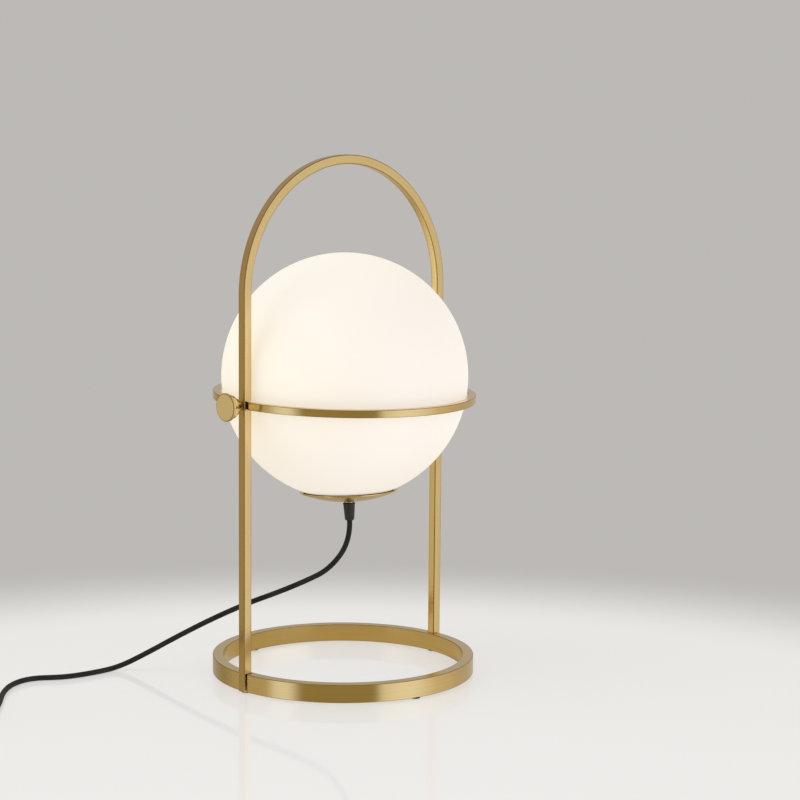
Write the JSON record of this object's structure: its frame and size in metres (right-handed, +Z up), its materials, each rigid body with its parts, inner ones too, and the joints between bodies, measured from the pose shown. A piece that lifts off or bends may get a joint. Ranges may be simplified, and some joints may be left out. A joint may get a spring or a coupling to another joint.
{
  "type": "table lamp",
  "caption": "Table lamp: an opal glass globe in a brass ring that tilts between two knobs on a tall arched hoop over a ring base, with cord, switch and plug.",
  "frame": {"origin": "on the surface the lamp stands on, below the centre of the base ring", "axes": "+Z up; X through the two posts and the tilt pivots, with the post and knob nearer the viewer at -X; Y across the hoop's plane, away from the viewer at +Y"},
  "size_m": [0.7179, 0.3124, 0.5289],
  "materials": {
    "brass": "satin, brushed along the bar",
    "opal_glass": "gloss, milk white",
    "rubber": "matt",
    "cord_sheath": "satin",
    "moulded_black": "satin",
    "steel": "zinc plated",
    "contact_brass": "bright",
    "ceramic": "glazed ceramic",
    "core_insulation": "matt",
    "bulb_metal": "bright",
    "bulb_black_glass": "gloss",
    "bulb_white": "satin",
    "bulb_board": "white",
    "bulb_frosted": "frosted",
    "plug_pin_metal": "nickel plated",
    "tie": "matt"
  },
  "bodies": {
    "frame": {"base_ring": "brass", "hoop": "brass", "foot_pads": "rubber", "friction_washer_near": "rubber", "friction_washer_far": "rubber", "cord_lamp": "cord_sheath", "cord_link": "cord_sheath", "cord_coil": "cord_sheath", "cord_tail": "cord_sheath", "cord_tie": "tie", "switch_base": "moulded_black", "switch_cover": "moulded_black", "switch_screws": "steel", "switch_contacts": "contact_brass", "plug_body": "moulded_black", "plug_pins": "plug_pin_metal"},
    "globe": {"globe_ring": "brass", "seat_gasket": "rubber", "glass_globe": "opal_glass", "cap": "brass", "cap_gasket": "rubber", "spring_clip": "steel", "threaded_tube": "steel", "lock_nuts": "steel", "cord_collar": "brass", "cord_grip": "cord_sheath", "inner_cord": "cord_sheath", "holder_cap": "moulded_black", "holder_barrel": "moulded_black", "terminal_block": "ceramic", "screw_shell": "contact_brass", "centre_contact": "contact_brass", "terminal_screws": "steel", "inner_leads": "core_insulation"},
    "bulb": {"bulb_cap": "bulb_metal", "bulb_insulator": "bulb_black_glass", "bulb_tip": "bulb_metal", "bulb_housing": "bulb_white", "bulb_board": "bulb_board", "bulb_diffuser": "bulb_frosted"},
    "knob_near": {"knob_near": "brass", "knob_stud_near": "steel"},
    "knob_far": {"knob_far": "brass", "knob_stud_far": "steel"},
    "rocker": {"switch_rocker": "moulded_black"}
  },
  "joints": [
    {"name": "globe_tilt", "type": "hinge", "parent": "frame", "child": "globe", "pos_m": [0, 0, 0.2865], "axis": [1, 0, 0], "range_deg": [-10.3, 7.7], "deforming": ["cord_lamp"]},
    {"name": "knob_near_turn", "type": "hinge", "parent": "globe", "child": "knob_near", "pos_m": [-0.1464, 0, 0.2865], "axis": [-1, 0, 0], "range_deg": [0, 360]},
    {"name": "knob_far_turn", "type": "hinge", "parent": "globe", "child": "knob_far", "pos_m": [0.1464, 0, 0.2865], "axis": [1, 0, 0], "range_deg": [0, 360]},
    {"name": "bulb_turn", "type": "hinge", "parent": "globe", "child": "bulb", "pos_m": [0, -0.00044, 0.30569], "axis": [0, 0.0558, 0.9984], "range_deg": [0, 1080]},
    {"name": "rocker_press", "type": "hinge", "parent": "frame", "child": "rocker", "pos_m": [-0.438, 0.082, 0.015], "axis": [0, 1, 0], "range_deg": [-14, 0]}
  ]
}
